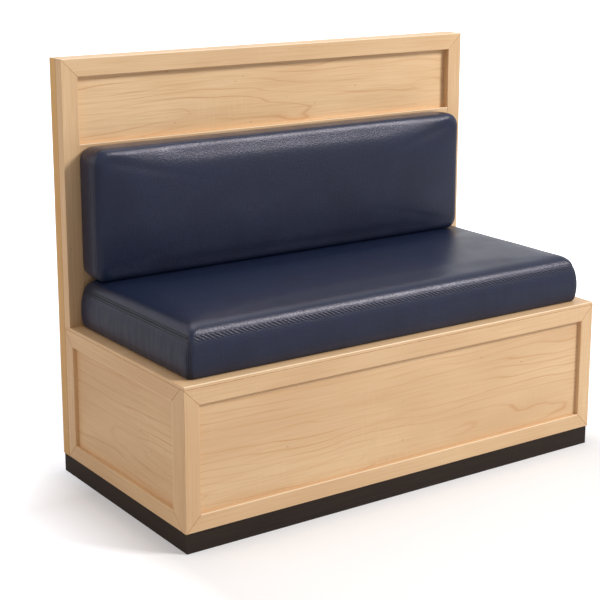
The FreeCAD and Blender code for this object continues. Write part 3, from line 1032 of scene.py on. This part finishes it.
@dataclass
class SeatCushion(Cushion):
    """The seat cushion: deep side band, tight corners in front and nearly square at the rear."""

    name: str = "seat_cushion_leather"
    body: str = "seat_cushion"
    stands_for: tuple[str, ...] = ("seat_cover", "seat_foam")
    centre: Triple = (0.0, -0.0185, 0.3863)
    width: float = 1.168
    depth: float = 0.519
    seam_height: float = 0.091
    seam_inset: float = 0.009
    base_inset: float = 0.006
    roll_rise: float = 0.029
    roll_run: float = 0.034
    crown: float = 0.006
    end_run: float = 0.14
    near_radius: float = 0.014
    far_radius: float = 0.009
    far_share: float = 0.15
    bulge: float = 7.0 * MM
    groove_width: float = 2.0 * MM
    corner_seams: bool = True
    swell: float = 1.5 * MM
    fold: float = 0.7 * MM
    room: tuple[Triple, Triple] = ((-1.0, -1.0, 0.0), (1.0, 0.2603, 0.1280))
    rear_height: float = 0.1213
    front_rise: float = 6.5 * MM
    rise_start: float = 0.15
    rise_run: float = 0.09

    def press(self, piece: Piece) -> None:
        """Presses the rear of the top down to where it goes under the back cushion.

        Args:
            piece: the cushion before it is turned.
        """
        points = read_points(piece)
        share = np.clip((self.rise_start - points[:, 1]) / self.rise_run, 0.0, 1.0)
        limit = self.rear_height + self.front_rise * share**2 * (3 - 2 * share)
        over = (limit - points[:, 2]) / MM
        points[:, 2] = limit - MM * np.logaddexp(0.0, over)
        set_points(piece, points)
        super().press(piece)

    def wrinkle(self, piece: Piece) -> None:
        """Gives the side band upright folds, deepest on the two ends.

        Args:
            piece: the cushion before it is turned.
        """
        points, normals = read_points(piece), read_points(piece, "normal")
        outwards = np.abs(normals[:, 2]) < 0.7
        level = np.clip(points[:, 2] / self.seam_height, 0.0, 1.0)
        band = np.sin(np.pi * level) ** 0.7 * outwards
        on_end = np.clip(np.abs(normals[:, 0]), 0.25, 1.0)
        squeezed = points * np.array((1.0, 1.0, 0.16))
        lift = waves(squeezed, 0.012, self.seed + 20) * band * on_end * self.fold
        lift += waves(squeezed, 0.028, self.seed + 31) * band * on_end * self.fold
        set_points(piece, points + normals * lift[:, None])


@dataclass
class BackCushion(Cushion):
    """The back cushion: a thick pad with large corners, its face rolled and crowned."""

    name: str = "back_cushion_leather"
    body: str = "back_cushion"
    stands_for: tuple[str, ...] = ("back_cover", "back_foam")
    centre: Triple = (-0.018, 0.2427, 0.6680)
    tilt: float = math.pi / 2
    width: float = 1.110
    depth: float = 0.320
    seam_height: float = 0.076
    seam_inset: float = 0.0
    base_inset: float = 0.003
    roll_rise: float = 0.013
    roll_run: float = 0.026
    crown: float = 0.0125
    arch_power: float = 2.9
    end_run: float = 0.22
    near_radius: float = 0.028
    far_radius: float = 0.034
    swell: float = 2.0 * MM
    room: tuple[Triple, Triple] = ((-1.0, -0.1600, 0.0), (1.0, 1.0, 0.105))
    side_rows: int = 10
    seed: float = 11.0


@dataclass
class SeamWork:
    """What is sewn on the seat cushion's seams: rows of thread, and the gathered front edge.

    Everything is laid on the cushion's own surface, which is found by looking at it from the side.
    """

    cushion: SeatCushion
    pitch: float = 5.4 * MM
    stitch: Triple = (0.0023, 0.00075, 0.0005)
    clear: float = 0.05
    gather_pitch: float = 12.5 * MM
    gather_reach: float = 6.6 * MM
    gather_height: float = 1.0 * MM
    gather_slant: float = 1.6
    hem: float = 0.25 * MM
    leather: float = 1.1 * MM

    def find(self, outside: Vector, inward: Vector) -> tuple[Vector, Vector] | None:
        """Finds the cushion's surface from a point beside it.

        Args:
            outside: a point clear of the cushion.
            inward: the level direction to look in.

        Returns:
            The point met and its outward direction, or nothing.
        """
        place, normal, _, _ = self.cushion.surface.ray_cast(outside, inward)
        return None if place is None else (place, normal)

    def outline(self) -> list[tuple[Vector, Vector, Vector]]:
        """Walks round the cushion at the seam, apart from its front.

        Returns:
            A point outside the cushion, the way inward and the way along, for each stitch.
        """
        box = self.cushion
        half_x, half_y = box.width / 2, box.depth / 2
        found = []
        for side in (-1.0, 1.0):
            count = int((box.depth - box.near_radius - box.far_radius) / self.pitch)
            for i in range(count):
                y = -half_y + box.near_radius + (i + 0.5) * self.pitch
                start = Vector((side * (half_x + self.clear), y, 0.0))
                found.append((start, Vector((-side, 0.0, 0.0)), Vector((0.0, 1.0, 0.0))))
        count = int((box.width - 2 * box.far_radius) / self.pitch)
        for i in range(count):
            x = -half_x + box.far_radius + (i + 0.5) * self.pitch
            start = Vector((x, half_y + self.clear, 0.0))
            found.append((start, Vector((0.0, -1.0, 0.0)), Vector((1.0, 0.0, 0.0))))
        return found

    def places(self) -> list[Matrix]:
        """Lists where every stitch lies, on both sides of each seam.

        Returns:
            The place and turn of each stitch, its length along its own X axis.
        """
        box = self.cushion
        found = []
        for start, inward, along in self.outline():
            for side in (-1.0, 1.0):
                start.z = box.seam_height + side * STITCH_OFFSET
                met = self.find(start, inward)
                if met:
                    found.append(self.lying(*met, along))
        rows = int((box.seam_height - 12 * MM) / self.pitch)
        for side in (-1.0, 1.0):
            inward = Vector((-side, 1.0, 0.0)).normalized()
            across = Vector((side, 1.0, 0.0)).normalized()
            corner = Vector((side * box.width / 2, -box.depth / 2, 0.0))
            for i in range(rows):
                for shift in (-1.0, 1.0):
                    start = corner - inward * self.clear + across * shift * STITCH_OFFSET
                    start.z = 5 * MM + (i + 0.5) * self.pitch
                    met = self.find(start, inward)
                    if met:
                        found.append(self.lying(*met, Vector((0.0, 0.0, 1.0))))
        return found

    def lying(self, place: Vector, normal: Vector, along: Vector) -> Matrix:
        """Lays one stitch on the surface.

        Args:
            place: its middle.
            normal: the surface's outward direction.
            along: about the way that the row runs.

        Returns:
            The stitch's place and turn.
        """
        side = normal.cross(along).normalized()
        run = side.cross(normal)
        turn = Matrix((run, side, normal)).transposed().to_4x4()
        return Matrix.Translation(place + normal * 0.1 * MM) @ turn

    def stitches(self) -> Piece:
        """Copies one stitch to every place of the rows.

        Returns:
            All the stitches as one piece.
        """
        deselect()
        bpy.ops.mesh.primitive_uv_sphere_add(segments=8, ring_count=5, radius=1.0)
        one = take("seat_stitches")
        one.rotation_euler = (0.0, math.pi / 2, 0.0)
        apply_all(one)
        points = read_points(one)
        points[:, 0] = np.sign(points[:, 0]) * np.abs(points[:, 0]) ** 0.6
        shape = points * np.array(self.stitch)
        faces = [tuple(face.vertices) for face in one.data.polygons]
        rows, solid = [], []
        for number, place in enumerate(self.places()):
            matrix = np.array(place)
            rows.append(shape @ matrix[:3, :3].T + matrix[:3, 3])
            solid += [tuple(v + number * len(shape) for v in face) for face in faces]
        mesh = bpy.data.meshes.new("seat_stitches")
        mesh.from_pydata(np.vstack(rows), [], solid)
        one.data = mesh
        return one

    def gathered_edge(self) -> Piece:
        """Lays the puckered strip along the front seam, its pleats slanting down to the right.

        Returns:
            The strip, with its long edges tucked into the leather.
        """
        box = self.cushion
        half = box.width / 2 - box.seam_inset - box.near_radius * 0.45
        columns = round(2 * half / (1.25 * MM))
        deselect()
        bpy.ops.mesh.primitive_grid_add(x_subdivisions=columns, y_subdivisions=12, size=2)
        strip = take("seat_gathered_edge")
        points = read_points(strip)
        pleat_shade = np.zeros(len(points))
        for i, (along, across, _) in enumerate(points):
            x, rise = along * half, across * self.gather_reach
            start = Vector((x, -box.depth / 2 - self.clear, box.seam_height + rise))
            met = self.find(start, Vector((0.0, 1.0, 0.0)))
            if met is None:
                continue
            place, normal = met
            ends = min(1.0, (1 - abs(along)) * half / 0.012)
            swell = math.sqrt(max(0.0, 1 - across * across)) * ends
            inner = min(1.0, 2.5 * (1 - abs(across)))
            slack = noise.noise(Vector((x * 40, 0.0, 4.0))) * 0.9
            phase = (x + rise * self.gather_slant) / self.gather_pitch * 2 * math.pi + slack
            pleat = math.sin(phase) * 0.6
            # Painted shade: the pleats' valleys are darkened, less so towards the strip's long
            # edges and its ends.
            valley = min(0.75, max(0.0, -math.sin(phase) - 0.05) * 1.8)
            pleat_shade[i] = valley * ends * inner
            height = self.gather_height * swell * (0.7 + pleat) - self.hem * (1 - swell)
            points[i] = place + normal * height
        set_points(strip, points)
        mark_points(strip, "seam_and_pleat_shade", pleat_shade)
        thick = strip.modifiers.new("leather", "SOLIDIFY")
        thick.thickness = self.leather
        thick.offset = -1.0
        apply_all(strip)
        face_outwards(strip)
        return strip

    def build(self, thread: Material, leather: Material) -> None:
        """Sews the seams.

        Args:
            thread: the stitches' material.
            leather: the gathered edge's material.
        """
        for piece, material in ((self.stitches(), thread), (self.gathered_edge(), leather)):
            self.cushion.place(piece)
            dress(piece, material)
            smooth(piece, 80.0)
            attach(piece, self.cushion.body)
            LOG.info("%s: %d faces", piece.name, len(piece.data.polygons))


@dataclass
class StretchedCloth:
    """A dust cloth stapled under a cushion's board, drawn tight."""

    node: str
    name: str
    body: str
    board: str
    thickness: float = 0.4 * MM
    slack: float = 0.35 * MM

    def build(self, material: Material) -> None:
        """Makes the cloth where the frame has it.

        Args:
            material: its material.
        """
        low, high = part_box(self.node)
        size, middle = high - low, (low + high) / 2
        flat = min(range(3), key=lambda axis: size[axis])
        across, along = (axis for axis in range(3) if axis != flat)
        deselect()
        bpy.ops.mesh.primitive_grid_add(x_subdivisions=56, y_subdivisions=20, size=1)
        piece = take(self.name)
        thick = piece.modifiers.new("cloth", "SOLIDIFY")
        thick.thickness = self.thickness
        points = read_points(piece)
        spread = np.zeros_like(points)
        edge = 0.5 - np.max(np.abs(points[:, :2]), axis=1)
        slack = waves(points, 0.12, 4.0) * self.slack * np.clip(edge / 0.05, 0, 1)
        spread[:, across] = points[:, 0] * size[across]
        spread[:, along] = points[:, 1] * size[along]
        spread[:, flat] = slack
        set_points(piece, spread + np.array(middle))
        apply_all(piece)
        face_outwards(piece)
        dress(piece, material)
        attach(piece, self.body)
        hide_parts(self.node)
        LOG.info("%s", piece.name)


# Woodwork


@dataclass
class Woodwork:
    """The booth's frame, box, back and plinth: the solids with their finishes and joint lines."""

    body: str = "booth_frame"
    joint_width: float = 1.0 * MM
    joint_height: float = 0.7 * MM
    joint_sunk: float = 0.27 * MM

    def boards(self) -> dict[str, Maple]:
        """Lists the maple boards, each with its own piece of the tree.

        Returns:
            The finish of each node.
        """
        upright, level, deep = Grain.ALONG_Z, Grain.ALONG_X, Grain.ALONG_Y
        runs = {
            upright: "face_stile_left face_stile_right rear_post_left rear_post_right "
            "front_left_stile front_right_stile left_front_stile left_rear_stile "
            "right_front_stile right_rear_stile",
            level: "face_top_rail face_mid_rail face_bottom_rail rear_top_rail "
            "rear_bottom_rail front_top_rail front_bottom_rail deck_cap",
            deep: "left_top_rail left_bottom_rail right_top_rail right_bottom_rail",
        }
        # These boards get a painted highlight along their upper front arris. The side frames' front
        # stiles and top rails get a pale painted line along their inner edges next to the panels.
        eased = ("face_mid_rail", "face_top_rail", "front_bottom_rail", "deck_cap")
        found = {}
        for grain, names in runs.items():
            for name in names.split():
                low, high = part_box(name)
                extra = {}
                # Painted warm shade: the rear posts get a darker, yellower copy of the maple for
                # their shaded side faces.
                if name.startswith("rear_post"):
                    extra = {"light": "#DFB678", "deep": "#CC9C58"}
                elif name in eased:
                    extra["worn"] = ((1, low.y), (2, high.z))
                elif name.endswith("t_front_stile"):
                    extra["worn"] = ((1, high.y),)
                elif name in ("left_top_rail", "right_top_rail"):
                    extra["worn"] = ((2, low.z),)
                found[name] = Maple("maple_" + name, grain, len(found) + 1, **extra)
        wide = {"line_gap": 0.021, "wander": 2.2, "line_strength": 0.42}
        for name, grain, pith in (
            ("front_panel", level, (0.115, 0.030, 0.05)),
            ("left_panel", deep, (0.170, 0.030, 0.09)),
            ("right_panel", deep, (0.250, 0.020, -0.09)),
            ("upper_back_panel", level, (0.868, 0.030, 0.05)),
            ("lower_back_panel", level, (0.560, 0.040, 0.04)),
            ("back_skin", level, (0.520, 0.050, -0.05)),
        ):
            painted_lighter_copy = {}
            # Painted light: the upper back panel gets a lighter copy of the maple, standing in for
            # the extra light on it.
            if name == "upper_back_panel":
                painted_lighter_copy = {"light": "#EDCDA4", "deep": "#E3BF94"}
            seed = len(found) + 1
            found[name] = Maple("maple_" + name, grain, seed, pith=pith, **wide, **painted_lighter_copy)
        return found

    def joints(self) -> list[tuple[Triple, Triple, Triple]]:
        """Lists the joints that show as a thin line.

        Returns:
            Start, end and the outward direction of the face, for each joint.
        """
        low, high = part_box("front_left_stile")
        wide, front, left = high.x - low.x, low.y, low.x
        foot, head = low.z, high.z
        ends = ((foot, wide), (head, -wide))
        facing = (0.0, -1.0, 0.0)
        found = []
        for side in (1.0, -1.0):
            outer, inner = side * left, side * (left + wide)
            for level, step in ends:
                found.append(((outer, front, level), (inner, front, level + step), facing))
        rail_low, rail_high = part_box("left_top_rail")
        near, far = rail_low.y, rail_high.y
        stile_low, stile_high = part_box("face_stile_left")
        back, top = stile_high.y, stile_high.z
        mitre = stile_high.x - stile_low.x
        for side in (1.0, -1.0):
            outward = (-side, 0.0, 0.0)
            x = side * rail_low.x
            for edge, way in ((near, wide), (far, -wide)):
                for level, step in ends:
                    found.append(((x, edge, level), (x, edge + way, level + step), outward))
            found.append(((x, back, foot), (x, back, top), outward))
            found.append(((x, front, head), (x, far, head), outward))
            inner = (x + side * mitre, stile_low.y, top - mitre)
            found.append(((x, stile_low.y, top), inner, facing))
        found.append(((left, front, head), (-left, front, head), facing))
        return found

    def joint_lines(self) -> Piece:
        """Draws each joint as a thin raised strip with eased ends.

        Returns:
            All the strips as one piece.
        """
        strips = []
        for start, end, outward in self.joints():
            start, end, outward = Vector(start), Vector(end), Vector(outward)
            run = end - start
            deselect()
            bpy.ops.mesh.primitive_cube_add(size=1.0)
            strip = take("joint_line")
            side = outward.cross(run.normalized())
            turn = Matrix((run.normalized(), side, outward)).transposed().to_4x4()
            size = Matrix.Diagonal((run.length, self.joint_width, self.joint_height, 1.0))
            middle = (start + end) / 2 - outward * self.joint_sunk
            strip.matrix_world = Matrix.Translation(middle) @ turn @ size
            ease = strip.modifiers.new("ease", "BEVEL")
            ease.width = 0.05 * MM
            ease.segments = 1
            apply_all(strip)
            strips.append(strip)
        deselect()
        for strip in strips:
            strip.select_set(True)
        bpy.context.view_layer.objects.active = strips[0]
        bpy.ops.object.join()
        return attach(take("booth_joint_lines"), self.body)

    def dress_nodes(self, nodes: dict[str, Piece]) -> None:
        """Gives each node of the frame its finish.

        Args:
            nodes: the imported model's nodes by name.
        """
        slots = {row["node"]: row["material_slot"] for row in frame["record"]["subparts"]}
        level = Grain.ALONG_X
        shared = {
            "plywood": Sawn("birch_plywood", level, "#E0C294", "#CFAE7E", 1.5 * MM),
            "softwood": Sawn("planed_softwood", level, "#DDBE8A", "#C79F68"),
            "dark_plinth": PlinthPaint(),
            "steel": ZincSteel(),
        }
        shared = {slot: finish.material() for slot, finish in shared.items()}
        boards = self.boards()
        for name, node in nodes.items():
            if name in boards:
                dress(node, boards[name].material())
            elif slots[name] in shared:
                dress(node, shared[slots[name]])
        LOG.info("dressed %d nodes of the frame", len(nodes))

    def build(self) -> None:
        """Dresses the frame's solids and draws the joints."""
        self.dress_nodes(frame["nodes"])
        dress(self.joint_lines(), JointShadow().material())


# Studio


@dataclass(frozen=True)
class SoftLight:
    """One soft box: its place, what it points at, its size in metres and its power in watts."""

    name: str
    place: Triple
    size: float
    power: float
    tint: str = "#FFFFFF"
    aim: Triple = (0.0, 0.0, 0.5)

    def build(self) -> None:
        """Hangs the light."""
        data = bpy.data.lights.new(self.name, "AREA")
        data.shape = "SQUARE"
        data.size = self.size
        data.energy = self.power
        data.color = linear(self.tint)[:3]
        light = bpy.data.objects.new(self.name, data)
        bpy.context.scene.collection.objects.link(light)
        light.location = self.place
        away = Vector(self.place) - Vector(self.aim)
        light.rotation_euler = away.to_track_quat("Z", "Y").to_euler()


@dataclass(frozen=True)
class Studio:
    """A plain pale floor and backdrop, soft light and the camera.

    The floor's glow is its own light as a strength: everywhere, then more beside the booth and
    far from it over glow_reach, and more behind it. rear_glow holds where that starts and ends.
    """

    camera_place: Triple = (-2.12176, -2.93454, 1.40699)
    camera_turn: Triple = (77.005, 0.0, -34.564)
    lens: float = 89.477
    sensor: float = 36.0
    shift_down: float = -0.1
    sky: float = 0.25
    sky_tint: str = "#FFF0E0"
    floor_size: float = 40.0
    floor_shade: str = "#DBDDE1"
    floor_glow: Triple = (0.23, 0.48, 0.30)
    glow_tint: tuple[float, float, float, float] = (0.97, 1.0, 1.07, 1.0)
    glow_reach: Triple = (0.02, 0.24, 2.0)
    rear_glow: Triple = (0.12, 0.38, 0.42)
    bounced_glow: float = 0.1
    lights: tuple[SoftLight, ...] = (
        SoftLight("key", (3.7, -4.3, 4.5), 1.8, 390.0, "#FFFBF5"),
        SoftLight("overhead", (0.2, 0.4, 3.6), 2.4, 40.0),
        SoftLight("side_fill", (-4.6, 1.0, 2.5), 4.6, 78.0, "#FFF0DF"),
    )

    def build(self) -> None:
        """Sets up the camera, the lights, the floor and the sky."""
        self.camera()
        for light in self.lights:
            light.build()
        self.floor()
        self.backdrop()

    def camera(self) -> None:
        """Puts the camera where the photograph was taken from."""
        data = bpy.data.cameras.new("camera")
        data.lens = self.lens
        data.sensor_width = self.sensor
        data.shift_y = self.shift_down
        camera = bpy.data.objects.new("camera", data)
        bpy.context.scene.collection.objects.link(camera)
        camera.location = self.camera_place
        camera.rotation_euler = [math.radians(turn) for turn in self.camera_turn]
        bpy.context.scene.camera = camera

    def rays(self, shader: Shader) -> tuple[Socket, Socket]:
        """Tells where a ray comes from.

        Args:
            shader: the material's or the sky's nodes.

        Returns:
            Whether it comes from the camera, and whether from a gloss or a clear surface.
        """
        camera, gloss, clear = (
            shader.add("LightPath", out=f"Is {kind} Ray")
            for kind in ("Camera", "Glossy", "Transmission")
        )
        return camera, shader.add("Math", gloss, clear)

    def floor(self) -> None:
        """Lays a pale floor that keeps the shadow and is white elsewhere."""
        deselect()
        bpy.ops.mesh.primitive_plane_add(size=self.floor_size)
        floor = take("floor")
        shader = Shader(bpy.data.materials.new("pale_floor"))
        place = shader.add("TexCoord", out="Object")
        beyond = []
        for axis in range(2):
            side = shader.add("SeparateXYZ", place, out=axis)
            side = shader.add("Math", side, operation="ABSOLUTE")
            edge = CAD_BOX[1][axis]
            beyond.append(shader.add("Math", side, edge, operation="SUBTRACT"))
        away = shader.add("Math", *beyond, operation="MAXIMUM")
        depth = shader.add("SeparateXYZ", place, out=1)
        base, near, far = self.floor_glow
        start, reach, end = self.glow_reach
        first, last, behind = self.rear_glow
        glow = shader.add("MapRange", beyond[0], start, reach, To_Max=near)
        glow = shader.add("Math", glow, base)
        glow = shader.add("Math", shader.add("MapRange", away, reach, end, To_Max=far), glow)
        rear = shader.add("MapRange", depth, first, last, To_Max=behind)
        glow = shader.add("Math", rear, glow)
        camera, bounced = self.rays(shader)
        bounced = shader.add("Math", bounced, self.bounced_glow, operation="MULTIPLY")
        seen = shader.add("Math", camera, bounced)
        material = shader.finish(
            Base_Color=linear(self.floor_shade),
            Roughness=0.9,
            Specular_IOR_Level=0.0,
            Emission_Color=self.glow_tint,
            Emission_Strength=shader.add("Math", seen, glow, operation="MULTIPLY"),
        )
        dress(floor, material)

    def backdrop(self) -> None:
        """Makes the sky white to look at and softer as a light."""
        world = bpy.context.scene.world or bpy.data.worlds.new("sky")
        bpy.context.scene.world = world
        shader = Shader(world)
        seen = shader.add("Math", shader.add("Math", *self.rays(shader)), 1.0, operation="MINIMUM")
        strength = shader.add("Math", seen, 1.0 - self.sky, operation="MULTIPLY")
        strength = shader.add("Math", strength, self.sky)
        colour = shader.layered(self.sky_tint, (seen, "#FFFFFF"))
        shader.add("OutputWorld", shader.add("Background", colour, strength))


def main() -> None:
    """Builds the scene in order."""
    logging.basicConfig(level=logging.INFO, format="%(message)s")
    bpy.context.scene.view_settings.view_transform = "Standard"
    Studio().build()
    Woodwork().build()
    leather = Leather("navy_leather", seam=1.0, rows=1.0).material()
    seat = SeatCushion()
    seat.build(leather)
    BackCushion().build(Leather("navy_leather_back", seam=0.45).material())
    SeamWork(seat).build(Thread().material(), leather)
    cloth = DustCloth().material()
    for node, name, cushion in (
        ("seat_dust_cloth", "seat_underside_cloth", "seat"),
        ("back_dust_cloth", "back_rear_cloth", "back"),
    ):
        StretchedCloth(node, name, cushion + "_cushion", cushion + "_board").build(cloth)


if __name__ == "__main__":
    main()
